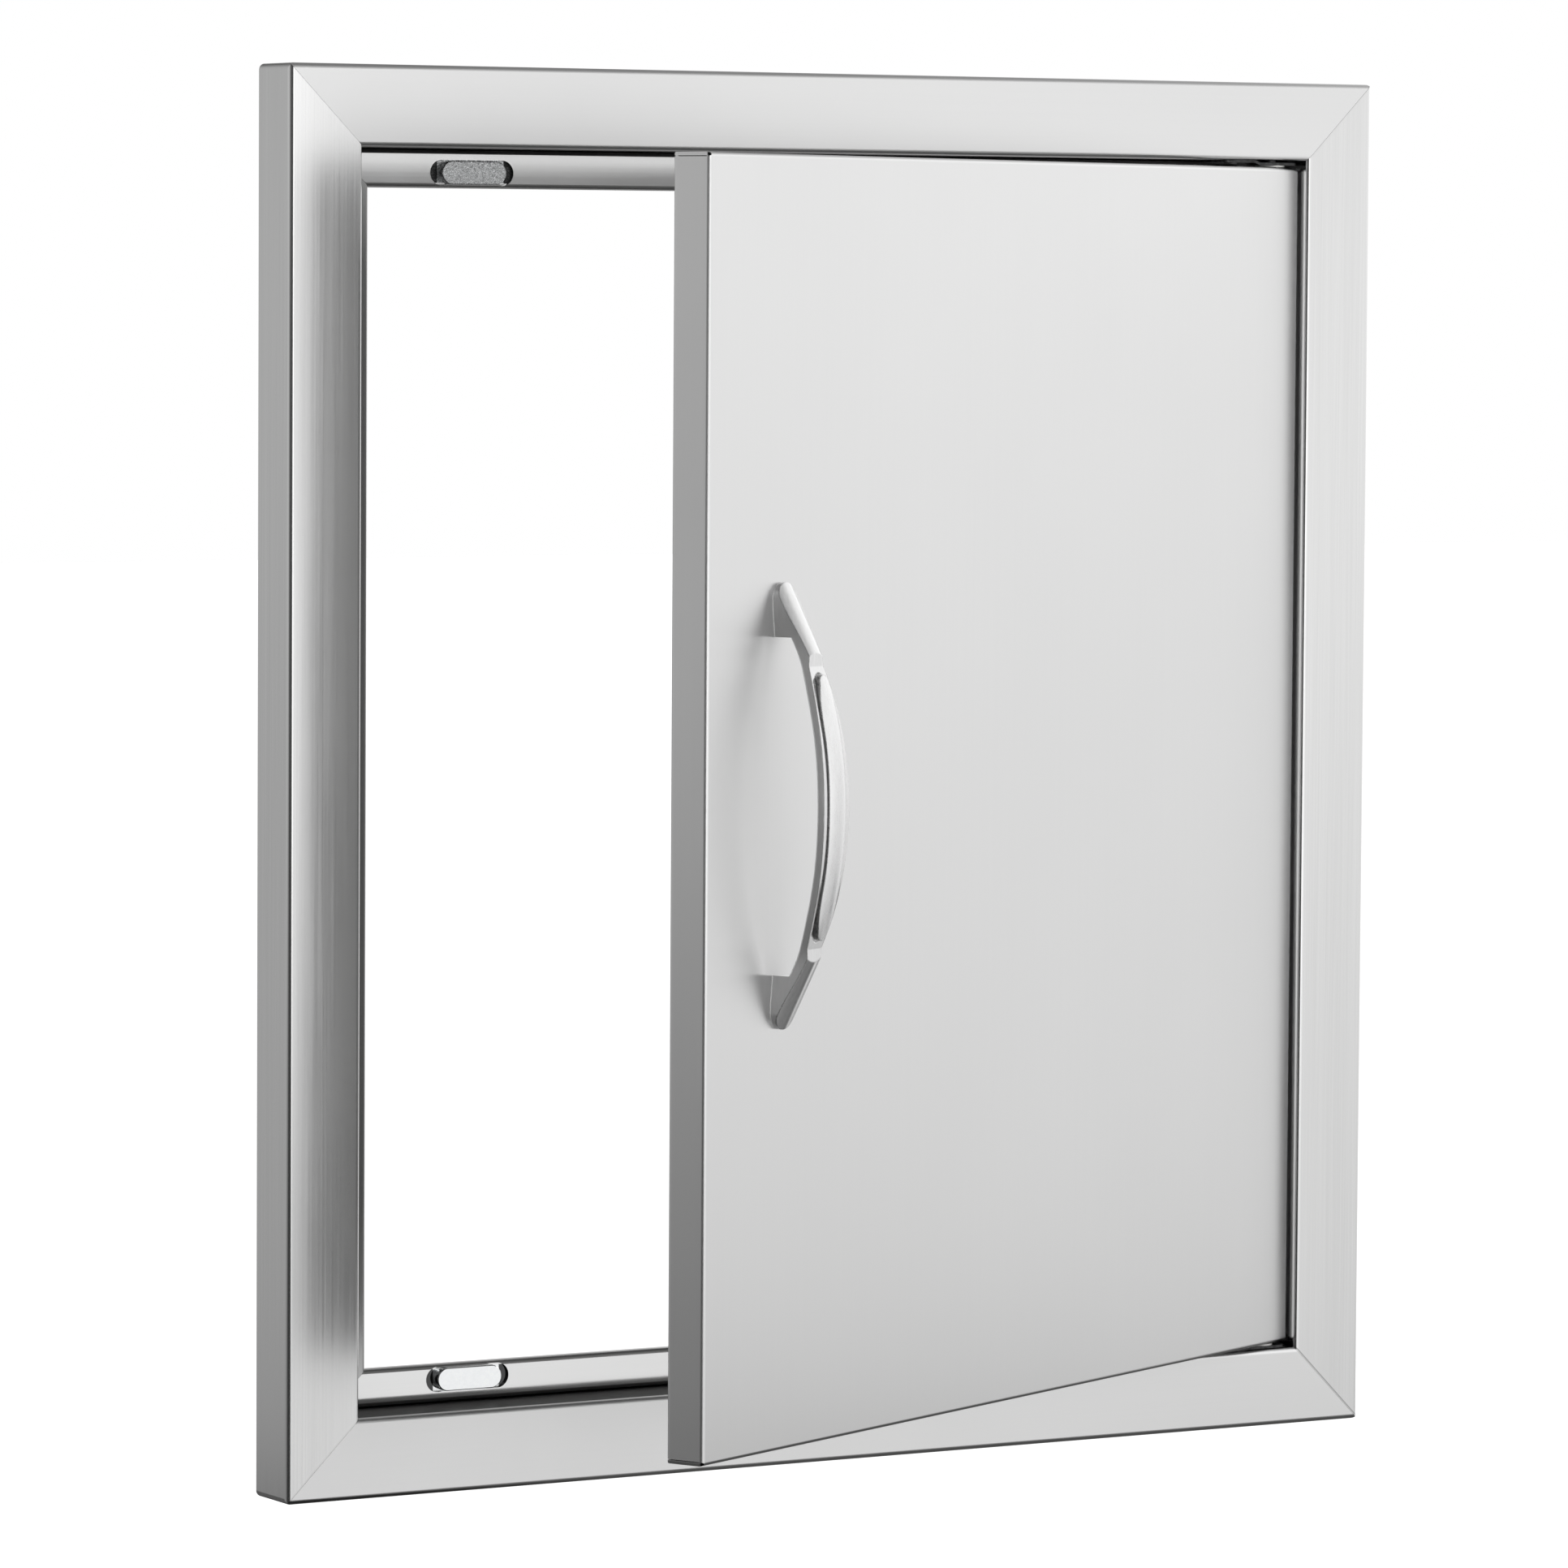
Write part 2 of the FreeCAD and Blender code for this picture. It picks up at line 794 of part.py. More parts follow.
def make_bow():
    """The bow of the arched pull: two crowned legs on solid feet, a flat facet at each
    shoulder, and a wider grip between them."""
    crest = grip_end + facet_length
    upper = [
        V(0, 0, foot_inner),
        V(0, 0, handle_end),
        V(0, -tip_height, handle_end),
        V(0, -facet_height, crest),
        V(0, -facet_height, grip_end),
    ]
    lower = [V(0, point.y, -point.z) for point in upper]
    foot_top = V(0, -foot_height, foot_inner)
    foot_bottom = V(0, -foot_height, -foot_inner)
    lines = []
    for chain in (upper, lower):
        for start, end in zip(chain, chain[1:]):
            lines.append(Part.LineSegment(start, end).toShape())
    lines.append(Part.LineSegment(upper[0], foot_top).toShape())
    lines.append(Part.LineSegment(lower[0], foot_bottom).toShape())
    lines.append(Part.Arc(foot_top, V(0, -handle_clearance, 0), foot_bottom).toShape())
    lines.append(Part.Arc(upper[-1], V(0, -grip_rise, 0), lower[-1]).toShape())
    side = Part.Face(Part.Wire(Part.sortEdges(lines)[0]))
    side.translate(V(-grip_width / 2 - 1, 0, 0))
    arch = side.extrude(V(grip_width + 2, 0, 0))

    grip = [
        (0, grip_width / 2),
        (0.26 * grip_length, 0.88 * grip_width / 2),
        (0.39 * grip_length, 0.77 * grip_width / 2),
        (0.44 * grip_length, 0.69 * grip_width / 2),
        (grip_end, shoulder_width / 2),
    ]
    leg = [
        (grip_end, shoulder_width / 2),
        (crest - facet_length / 5, waist_width / 2),
        ((crest + handle_end) / 2, 0.92 * leg_width / 2),
        (handle_end - nose_length, leg_width / 2),
    ]
    plan = smooth_outline([grip, leg], handle_end)
    blank = arch.common(prism(plan))

    # Each leg is rounded over its crest by a cylinder laid along the slope
    across = grip_width
    out = -2 * grip_rise
    pieces = [blank.common(box(-across, across, out, 1, -grip_end, grip_end))]
    for sign in (-1, 1):
        slope = V(0, tip_height - facet_height, sign * (crest - handle_end)).normalize()
        inward = (V(0, 1, 0) - slope * slope.y).normalize()
        axis = V(0, -tip_height, sign * handle_end) + inward * leg_crest_radius
        crowned = cylinder(
            leg_crest_radius, axis - slope * handle_end, axis + slope * handle_end
        )
        z_range = sorted((sign * grip_end, sign * 2 * handle_end))
        half = blank.common(box(-across, across, out, 1, z_range[0], z_range[1]))
        pieces.append(half.common(crowned))
    return pieces[0].fuse(pieces[1:]).removeSplitter()


def inlay_outline(growth):
    """The inlay's long oval, larger all round by the growth."""
    tip = inlay_length / 2
    end = inlay_end_width / 2
    side = [
        (0, inlay_width / 2 + growth),
        (0.27 * inlay_length, 0.93 * inlay_width / 2 + growth),
        (0.41 * inlay_length, 0.79 * inlay_width / 2 + growth),
        (tip - end, end + growth),
    ]
    return smooth_outline([side], tip + growth)


def make_handle():
    """The bow with its recess, and the crowned inlay in it. Both are modelled on the
    door's front plane with their middle at the origin, then moved to their place."""
    bow = make_bow()
    sag = grip_rise - facet_height
    grip_radius = (grip_end**2 + sag**2) / (2 * sag)
    centre_y = grip_radius - grip_rise
    oval = inlay_outline(0)
    bottom = grip_radius - inlay_depth
    floor = cylinder(
        bottom, V(-grip_width, centre_y, 0), V(grip_width, centre_y, 0)
    )
    recess = prism(inlay_outline(inlay_groove))
    bow = bow.cut(recess.cut(floor))

    # The inlay's cross-section turns about the centre of the grip's arc
    half = inlay_width / 2 + inlay_groove
    edge_y = centre_y - grip_radius
    crown_y = edge_y - inlay_crown
    bottom_y = centre_y - bottom
    section = [
        Part.LineSegment(V(-half, bottom_y, 0), V(half, bottom_y, 0)),
        Part.LineSegment(V(half, bottom_y, 0), V(half, edge_y, 0)),
        Part.Arc(V(half, edge_y, 0), V(0, crown_y, 0), V(-half, edge_y, 0)),
        Part.LineSegment(V(-half, edge_y, 0), V(-half, bottom_y, 0)),
    ]
    face = Part.Face(Part.Wire([line.toShape() for line in section]))
    sweep = math.degrees(math.asin(grip_end / grip_radius))
    face.rotate(V(0, centre_y, 0), X_AXIS, -sweep)
    band = face.revolve(V(0, centre_y, 0), X_AXIS, 2 * sweep)
    inlay = band.common(prism(oval))

    for sign in (-1, 1):
        z = sign * handle_hole_spacing / 2
        hole = cylinder(
            handle_screw_radius + fit_clearance,
            V(0, 1, z),
            V(0, -handle_screw_grip - fit_clearance, z),
        )
        bow = bow.cut(hole)
    place = V(handle_x, front_y, door_mid_z)
    bow.translate(place)
    inlay.translate(place)
    return bow, inlay


def make_handle_fixings():
    """Backing strip inside the skin, with a screw and a washer for each foot."""
    inside = front_y + door_sheet
    back = inside + backing_thickness
    strip = box(
        handle_x - backing_width / 2,
        handle_x + backing_width / 2,
        inside,
        back,
        door_mid_z - handle_end + backing_margin,
        door_mid_z + handle_end - backing_margin,
    )
    ends = [edge for edge in strip.Edges if edge.BoundBox.XLength < 0.001 and edge.BoundBox.ZLength < 0.001]
    strip = strip.makeFillet(0.3 * backing_width, ends)
    screws = []
    washers = []
    seat = back + handle_washer_thickness
    for z in handle_hole_heights():
        hole = cylinder(
            handle_screw_radius + fit_clearance, V(handle_x, inside - 1, z), V(handle_x, seat + 1, z)
        )
        strip = strip.cut(hole)
        washer = cylinder(handle_washer_radius, V(handle_x, back, z), V(handle_x, seat, z))
        washers.append(washer.cut(hole))
        shank = cylinder(
            handle_screw_radius,
            V(handle_x, front_y - handle_screw_grip, z),
            V(handle_x, seat, z),
        )
        top = cylinder(
            handle_screw_head_radius,
            V(handle_x, seat, z),
            V(handle_x, seat + handle_screw_head_height, z),
        )
        screws.append(shank.fuse(top).removeSplitter())
    return strip, Part.makeCompound(screws), Part.makeCompound(washers)


def main():
    frame = make_frame()
    stops = make_stops()
    nodes = {
        "frame_bottom_rail": frame["bottom"],
        "frame_top_rail": frame["top"],
        "frame_left_stile": frame["left"],
        "frame_right_stile": frame["right"],
        "stop_bottom": stops["bottom"],
        "stop_top": stops["top"],
        "stop_left": stops["left"],
        "stop_right": stops["right"],
    }
    for name, z in (("top", catch_z), ("bottom", -catch_z)):
        nodes["catch_housing_" + name], nodes["catch_magnet_" + name] = make_catch(z)
    for name, sign, gap in (("top", 1, door_top_gap), ("bottom", -1, door_bottom_gap)):
        plate, pin, washer = make_pivot(sign, gap)
        nodes["pivot_plate_" + name] = plate
        nodes["pivot_pin_" + name] = pin
        nodes["pivot_washer_" + name] = washer
    nodes["pivot_plate_rivets"] = make_plate_rivets()

    door = {
        "door_skin": make_skin(),
        "door_liner": make_liner(),
        "door_stiffener": make_stiffener(),
    }
    for name, z in (("top", catch_z), ("bottom", -catch_z)):
        door["strike_" + name] = make_strike(z)
    door["strike_rivets"] = make_strike_rivets()
    for name, sign in (("top", 1), ("bottom", -1)):
        channel, bush = make_door_pivot(sign)
        door["pivot_channel_" + name] = channel
        door["pivot_bush_" + name] = bush
    door["handle_bow"], door["handle_inlay"] = make_handle()
    strip, screws, washers = make_handle_fixings()
    door["handle_backing_strip"] = strip
    door["handle_screws"] = screws
    door["handle_washers"] = washers
    for shape in door.values():
        shape.rotate(V(hinge_x, hinge_y, 0), Z_AXIS, open_angle)
    nodes.update(door)

    os.makedirs("parts", exist_ok=True)
    for name, shape in nodes.items():
        shape.exportStep("parts/" + name + ".step")
        print(name, len(shape.Solids), round(shape.Volume, 1), shape.isValid())


main()
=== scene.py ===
import math

import bmesh
import bpy
from mathutils import Matrix, Vector


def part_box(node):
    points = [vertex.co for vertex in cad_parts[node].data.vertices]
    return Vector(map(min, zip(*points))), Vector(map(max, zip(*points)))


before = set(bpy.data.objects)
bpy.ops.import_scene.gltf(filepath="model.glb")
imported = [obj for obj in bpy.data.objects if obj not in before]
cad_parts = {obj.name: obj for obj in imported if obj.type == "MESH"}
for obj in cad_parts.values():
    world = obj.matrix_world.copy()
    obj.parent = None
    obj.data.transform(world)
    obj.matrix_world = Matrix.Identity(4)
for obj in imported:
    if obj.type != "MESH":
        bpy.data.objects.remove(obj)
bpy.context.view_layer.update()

# Where the camera stands, worked out from the edges of the frame and the door
VIEW_TURN = math.radians(-30.289)
VIEW_PITCH = math.radians(3.724)
VIEW_ROLL = math.radians(0.364)
VIEW_TARGET = Vector((-0.02695, -0.024, -0.0040))
VIEW_DISTANCE = 2.8755
VIEW_LENS = 181.36
VIEW_SENSOR = 36
VIEW_CLIP = (0.1, 60)

# The floor, and a cloth tent that stands on it
FLOOR_HEIGHT = -0.50
FLOOR_SIZE = 14
FLOOR_TONE = 0.82
FLOOR_ROUGHNESS = 0.8
FLOOR_GLOW = 0.30
TENT_RADIUS = 1.4
TENT_FOOT = FLOOR_HEIGHT + 0.02
TENT_FACETING = 5
# How bright the cloth is round the door: degrees from the right towards the front
TENT_ROUND = (
    (-180, 0.62),
    (-120, 0.42),
    (-80, 0.42),
    (-60, 0.70),
    (-40, 1.12),
    (-20, 1.15),
    (2, 1.02),
    (10, 0.97),
    (18, 0.89),
    (45, 0.84),
    (68, 0.97),
    (77, 1.0),
    (84, 1.60),
    (98, 1.55),
    (105, 0.30),
    (112, 0.06),
    (152, 0.08),
    (164, 0.40),
    (180, 0.62),
)
# and at each height in metres
TENT_UPWARDS = (
    (-0.65, 0.56),
    (-0.35, 0.86),
    (-0.02, 0.98),
    (0.25, 1.12),
    (0.70, 1.04),
    (0.98, 0.60),
    (1.2, 0.28),
    (1.5, 0.15),
)
# Those heights sink in front and behind, rise at both sides, and tilt down to the right,
# each by a share of the distance
TENT_SINK_DEEP = 0.30
TENT_RISE_WIDE = 0.21
TENT_TILT_RIGHT = 0.09
# The lower part of the cloth in front hangs in shade: its turns, its heights, its depth
SHADE_TURNS = (69.0, 79.0)
SHADE_HEIGHTS = (-0.08, -0.34)
SHADE_DEPTH = 0.35
# The ground sheet is bright where the lamps reach it, in front and at the right
GROUND_FRONT = ((0.45, 0.10), (0.65, 0.95))
GROUND_RIGHT = (
    (0.10, 0.30),
    (0.45, 0.30),
    (0.60, 0.24),
    (0.74, 0.95),
    (1.00, 0.95),
    (1.20, 0.42),
    (1.40, 0.38),
)
# and meets the cloth between these heights
GROUND_BLEND = (TENT_FOOT + 0.01, TENT_FOOT + 0.05)
# Where each softbox stands, its width and height, and its power
SOFTBOXES = {
    "softbox_right": ((2.2, -1.6, 1.6), (1.4, 1.4), 12),
    "softbox_left": ((-1.8, -2.0, 1.8), (1.0, 1.4), 8),
}

# How far the faces of the stiles and stops fall back over their width
STILE_FALL = 0.00075
STOP_FALL = 0.0003
# How far the lower catch's front leans down, and the room between a catch and its slot
CATCH_LEAN = 0.015
CATCH_FIT = 0.0003
# How high the bend along the lower edge of the frame and of the door reaches; that bend gets
# a painted shade
FRAME_FOOT_SHADE = 0.0019
DOOR_FOOT_SHADE = 0.0014
# How far open the door stands, and the border and slope of the field in its liner
DOOR_OPEN = math.radians(26.0)
LINER_BORDER = 0.030
LINER_SLOPE = 0.006
# How far the edges of the pull and its inlay are rounded
PULL_EDGE = 0.0007
INLAY_EDGE = 0.0006

# Most values of a noise lie in this span
NOISE_SPAN = (0.3, 0.7)
# The results of a curve stay under this
CURVE_TOP = 2.0
BEVEL_SAMPLES = 4
# How the dot of the true and the rounded normal changes from a flat face to an edge
EDGE_DOTS = (0.995, 0.8)
# Brushing: cycles per metre across and along the grain, and how much each layer counts
FINE_LINES = (1500.0, 9.0)
BROAD_STREAKS = (260.0, 1.6)
LINE_SHARE = 0.6
STREAK_SHARE = 0.4
# How much the brushing changes tone, roughness and height
BRUSH_TONE = 0.035
BRUSH_ROUGHNESS = 0.05
BRUSH_HEIGHT = 0.000007
# Handling marks: their size, the span of the noise that shows, and their roughness
MARK_SCALE = (7.0, 7.0, 7.0)
MARK_SPAN = (0.35, 0.65)
MARK_ROUGHNESS = 0.02
# Edges are rubbed this far in, and are this much smoother
WORN_REACH = 0.0006
WORN_POLISH = 0.12
# The heads of fasteners are rubbed this far in, and are this much brighter
HEAD_REACH = 0.0003
HEAD_SHINE = 0.08
# The grain of upright faces. It slants a little, so that it is square to no level face
GRAIN_AXIS = (0.02, 0.01, 1.0)
# The jambs, which get a painted shade, begin this far outside the stops and this far behind
# the trim's front
JAMB_MARGIN = (0.0010, 0.0014)
JAMB_DEPTH = (0.0012, 0.0022)
# Half the width of a mitre's seam, and where and to what share it fades away from the
# lower right corner
SEAM_HALF = (0.0002, 0.0004)
SEAM_FADE = 0.05
SEAM_FAINT = 0.05
# The painted shade on the bend at a foot is darkest up to this share of its reach, and fades
# above it
FOOT_FULL = 0.6
# The painted shade in the slot of a catch fades in over this width
SLOT_BLUR = 0.0003
# The share of the tone that a seam keeps, and that the painted shade leaves on the bend at a
# foot and in a slot
SEAM_TONE = 0.55
FOOT_SHADE_TONE = 0.35
SLOT_SHADE_TONE = 0.08
# Zinc crystals: how high they stand, and the share of the finer grain on them
CRYSTAL_HEIGHT = 0.00012
CRYSTAL_GRAIN = 0.6
# The axis that sheet steel is brushed along
LEVEL = 0
UPRIGHT = 2


def place_camera():
    """A long lens, low and to the left, as in a catalogue picture of the open door."""
    data = bpy.data.cameras.new("catalogue_camera")
    data.sensor_width = VIEW_SENSOR
    data.lens = VIEW_LENS
    data.clip_start, data.clip_end = VIEW_CLIP
    camera = bpy.data.objects.new("catalogue_camera", data)
    bpy.context.collection.objects.link(camera)
    level = math.cos(VIEW_PITCH)
    back = Vector(
        (math.sin(VIEW_TURN) * level, -math.cos(VIEW_TURN) * level, math.sin(VIEW_PITCH))
    )
    right = Vector((math.cos(VIEW_TURN), math.sin(VIEW_TURN), 0))
    up = back.cross(right)
    tilted_right = right * math.cos(VIEW_ROLL) + up * math.sin(VIEW_ROLL)
    tilted_up = up * math.cos(VIEW_ROLL) - right * math.sin(VIEW_ROLL)
    turn = Matrix((tilted_right, tilted_up, back)).transposed().to_4x4()
    camera.matrix_world = Matrix.Translation(VIEW_TARGET + back * VIEW_DISTANCE) @ turn
    bpy.context.scene.camera = camera


class Nodes:
    """A material's node tree, with short calls for its nodes and links."""

    def __init__(self, name):
        self.material = bpy.data.materials.new(name)
        self.material.use_nodes = True
        self.tree = self.material.node_tree
        self.shader = self.tree.nodes["Principled BSDF"]

    def add(self, kind, inputs=(), **settings):
        node = self.tree.nodes.new(kind)
        for key, value in settings.items():
            setattr(node, key, value)
        for key, value in dict(inputs).items():
            self.join(value, node.inputs[key])
        return node

    def join(self, value, socket):
        if isinstance(value, bpy.types.NodeSocket):
            self.tree.links.new(value, socket)
        else:
            socket.default_value = value

    def place(self):
        """The point in object coordinates."""
        return self.add("ShaderNodeTexCoord").outputs["Object"]

    def axes(self):
        """The point's object coordinates, as X, Y and Z."""
        return self.add("ShaderNodeSeparateXYZ", {"Vector": self.place()}).outputs

    def noise(self, scale, detail):
        """Noise on object coordinates, stretched by the three scales in cycles per metre."""
        mapped = self.add("ShaderNodeMapping", {"Vector": self.place(), "Scale": scale})
        node = self.add(
            "ShaderNodeTexNoise",
            {"Vector": mapped.outputs["Vector"], "Scale": 1.0, "Detail": detail},
        )
        return node.outputs["Fac"]

    def ramp(self, value, low, high, start, end):
        """The value's span from low to high becomes a span from start to end."""
        node = self.add(
            "ShaderNodeMapRange",
            {
                "Value": value,
                "From Min": low,
                "From Max": high,
                "To Min": start,
                "To Max": end,
            },
        )
        return node.outputs["Result"]

    def spread(self, noise, start, end):
        """Most of a noise becomes a span from start to end."""
        return self.ramp(noise, *NOISE_SPAN, start, end)

    def inside(self, value, full, none):
        """1 where the value is up to one limit, and 0 from the other on."""
        return self.ramp(value, full, none, 1.0, 0.0)

    def curve(self, value, stops):
        """A smooth curve through (value, result) stops."""
        low, high = stops[0][0], stops[-1][0]
        share = self.ramp(value, low, high, 0.0, 1.0)
        node = self.add("ShaderNodeValToRGB", {"Fac": share})
        node.color_ramp.interpolation = "EASE"
        points = node.color_ramp.elements
        while len(points) < len(stops):
            points.new(0.5)
        for point, (place, result) in zip(points, stops):
            point.position = (place - low) / (high - low)
            grey = result / CURVE_TOP
            point.color = (grey, grey, grey, 1)
        return self.product(node.outputs["Color"], CURVE_TOP)

    def math(self, operation, *values):
        node = self.add("ShaderNodeMath", operation=operation)
        for value, socket in zip(values, node.inputs):
            self.join(value, socket)
        return node.outputs[0]

    def product(self, first, *others):
        for other in others:
            first = self.math("MULTIPLY", first, other)
        return first

    def apart(self, value, middle=0.0):
        """How far the value is from the middle."""
        return self.math("ABSOLUTE", self.math("SUBTRACT", value, middle))

    def scaled(self, value, mask, outside, within):
        """The value times one share where the mask is 0, and another where it is 1."""
        return self.product(value, self.ramp(mask, 0.0, 1.0, outside, within))

    def grey(self, value, tint=(1.0, 1.0, 1.0)):
        """A grey of the given value, slightly tinted."""
        node = self.add("ShaderNodeCombineColor")
        for channel, share in zip(("Red", "Green", "Blue"), tint):
            self.join(self.product(value, share), node.inputs[channel])
        return node.outputs["Color"]

    def surface(self, tone, roughness, tint=(1.0, 1.0, 1.0), metallic=1.0):
        """The colour and roughness of the material, which is metal unless told."""
        inputs = self.shader.inputs
        self.join(self.grey(tone, tint), inputs["Base Color"])
        self.join(roughness, inputs["Roughness"])
        self.join(metallic, inputs["Metallic"])

    def rounded(self, radius):
        """The normal with sharp edges rounded off."""
        node = self.add("ShaderNodeBevel", {"Radius": radius}, samples=BEVEL_SAMPLES)
        return node.outputs["Normal"]

    def normal(self):
        return self.add("ShaderNodeNewGeometry").outputs["Normal"]

    def edges(self, radius):
        """1 along sharp edges and 0 on flat faces."""
        dot = self.add(
            "ShaderNodeVectorMath",
            {0: self.rounded(radius), 1: self.normal()},
            operation="DOT_PRODUCT",
        )
        return self.ramp(dot.outputs["Value"], *EDGE_DOTS, 0.0, 1.0)

    def bump(self, height, distance=1.0, strength=1.0, rounding=0.0):
        """Relief from the height. Sharp edges look rounded where a radius is given."""
        node = self.add(
            "ShaderNodeBump", {"Height": height, "Distance": distance, "Strength": strength}
        )
        if rounding:
            self.join(self.rounded(rounding), node.inputs["Normal"])
        self.join(node.outputs["Normal"], self.shader.inputs["Normal"])


def inside_the_jambs(nodes):
    """1 on the faces of the trim that look into the doorway, behind its front bend, where
    shade is painted.
    """
    axes = nodes.axes()
    low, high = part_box("stop_left")[0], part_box("stop_right")[1]
    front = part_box("frame_left_stile")[0][1]
    return nodes.product(
        nodes.inside(nodes.apart(axes["X"]), *(high[0] + margin for margin in JAMB_MARGIN)),
        nodes.inside(nodes.apart(axes["Z"]), *(-low[2] + margin for margin in JAMB_MARGIN)),
        nodes.ramp(axes["Y"], *(front + depth for depth in JAMB_DEPTH), 0.0, 1.0),
    )


def falling_away(nodes, axis, start, end, fall):
    """Relief of a face that starts flat at one distance from the object's middle and
    bends back to its fall at another."""
    away = nodes.apart(nodes.axes()[axis])
    if start > end:
        start, end, away = -start, -end, nodes.product(away, -1.0)
    share = nodes.ramp(away, start, end, 0.0, 1.0)
    return nodes.product(share, share, -fall)


def mitre_seam(nodes):
    """1 along the mitres of the trim, which gape most at the lower right corner."""
    low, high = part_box("frame_left_stile")[0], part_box("frame_right_stile")[1]
    axes = nodes.axes()
    middle = (low[2] + high[2]) / 2
    # On a mitre, sideways and upwards differ by as much as at the frame's corner
    offset = high[0] - (high[2] - middle)
    upwards = nodes.math("ADD", nodes.apart(axes["Z"], middle), offset)
    diagonal = nodes.math("SUBTRACT", nodes.apart(axes["X"]), upwards)
    return nodes.product(
        nodes.inside(nodes.apart(diagonal), *SEAM_HALF),
        nodes.ramp(axes["X"], -SEAM_FADE, SEAM_FADE, SEAM_FAINT, 1.0),
        nodes.ramp(axes["Z"], SEAM_FADE, -SEAM_FADE, SEAM_FAINT, 1.0),
    )


def shaded_lower_edge(nodes, piece, reach):
    """1 on the bend along the piece's lower edge, as far up as it reaches, where shade is
    painted.
    """
    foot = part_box(piece)[0][2]
    return nodes.inside(nodes.axes()["Z"], foot + reach * FOOT_FULL, foot + reach)


def pressed_field(nodes):
    """1 on the field that is pressed into the door's liner, and 0 on its flat border."""
    low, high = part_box("door_liner")
    along = Vector((math.cos(DOOR_OPEN), math.sin(DOOR_OPEN), 0))
    near, far = Vector(low).dot(along), Vector(high).dot(along)
    wide = (far - near) / 2 - LINER_BORDER
    tall = (high[2] - low[2]) / 2 - LINER_BORDER
    dot = nodes.add(
        "ShaderNodeVectorMath", {0: nodes.place(), 1: along}, operation="DOT_PRODUCT"
    )
    sideways = nodes.apart(dot.outputs["Value"], (near + far) / 2)
    upwards = nodes.apart(nodes.axes()["Z"], (low[2] + high[2]) / 2)
    return nodes.product(
        nodes.inside(sideways, wide - LINER_SLOPE, wide),
        nodes.inside(upwards, tall - LINER_SLOPE, tall),
    )


def drawn_out(nodes, grain, scales, detail):
    """Noise drawn out along the grain."""
    across, along = scales
    stretch = [across, across, across]
    stretch[grain] = along
    return nodes.noise(stretch, detail)


def brushed_steel(
    name,
    grain,
    shade=0.80,
    roughness=0.30,
    contrast=1.0,
    jamb_shade=None,
    bend=None,
    foot=None,
    sweep=0.0,
):
    """Sheet steel brushed along one axis: fine lines, broader streaks, faint handling
    marks, and edges rubbed a little smoother. Painted shade leaves the jambs inside the
    doorway a share of the tone, and darkens a foot along its bend. A sweep blurs reflections
    across the grain of upright faces."""
    nodes = Nodes(name)
    lines = nodes.product(drawn_out(nodes, grain, FINE_LINES, 2.0), LINE_SHARE)
    streaks = nodes.product(drawn_out(nodes, grain, BROAD_STREAKS, 3.0), STREAK_SHARE)
    both = nodes.math("ADD", lines, streaks)
    change = BRUSH_TONE * contrast
    tone = nodes.spread(both, shade - change, shade + change)
    # Painted shade on the jambs inside the doorway
    if jamb_shade:
        tone = nodes.scaled(tone, inside_the_jambs(nodes), 1.0, jamb_shade)
        tone = nodes.scaled(tone, mitre_seam(nodes), 1.0, SEAM_TONE)
    # Painted shade along the bend at the foot
    if foot:
        tone = nodes.scaled(tone, shaded_lower_edge(nodes, *foot), 1.0, FOOT_SHADE_TONE)
    change = BRUSH_ROUGHNESS * contrast
    rough = nodes.spread(both, roughness - change, roughness + change)
    marks = nodes.noise(MARK_SCALE, detail=4.0)
    marks = nodes.ramp(marks, *MARK_SPAN, -MARK_ROUGHNESS, MARK_ROUGHNESS)
    rough = nodes.math("ADD", rough, marks)
    worn = nodes.product(nodes.edges(WORN_REACH), WORN_POLISH)
    rough = nodes.math("SUBTRACT", rough, worn)
    nodes.surface(tone, rough, (1.0, 1.0, 0.998))
    if sweep:
        across = nodes.add(
            "ShaderNodeVectorMath",
            {0: nodes.normal(), 1: GRAIN_AXIS},
            operation="CROSS_PRODUCT",
        )
        nodes.join(across.outputs["Vector"], nodes.shader.inputs["Tangent"])
        nodes.join(sweep, nodes.shader.inputs["Anisotropic"])
    relief = nodes.product(both, BRUSH_HEIGHT * contrast)
    if bend:
        relief = nodes.math("ADD", relief, falling_away(nodes, *bend))
    nodes.bump(relief)
    return nodes.material


def mill_steel(name, field=False):
    """The duller, cloudy face of sheet steel that isn't brushed. The field pressed into
    the liner is duller than its border."""
    nodes = Nodes(name)
    clouds = nodes.noise((30.0, 30.0, 14.0), detail=5.0)
    specks = nodes.noise((900.0, 900.0, 900.0), detail=2.0)
    tone = nodes.spread(clouds, 0.56, 0.64)
    if field:
        tone = nodes.scaled(tone, pressed_field(nodes), 1.30, 0.72)
    nodes.surface(tone, nodes.spread(clouds, 0.34, 0.44), (1.0, 1.0, 0.995))
    nodes.bump(specks, 0.00002, 0.3)
    return nodes.material


def polished_casting(name, shade, roughness, edge):
    """A cast pull that is polished by hand: smooth, with soft ripples and fine hazing."""
    nodes = Nodes(name)
    ripple = nodes.noise((60.0, 60.0, 35.0), detail=2.0)
    haze = nodes.noise((900.0, 900.0, 250.0), detail=3.0)
    tone = nodes.spread(haze, shade - 0.02, shade + 0.02)
    nodes.surface(tone, nodes.spread(haze, roughness - 0.03, roughness + 0.04))
    nodes.bump(ripple, 0.0001, 0.15, rounding=edge)
    return nodes.material


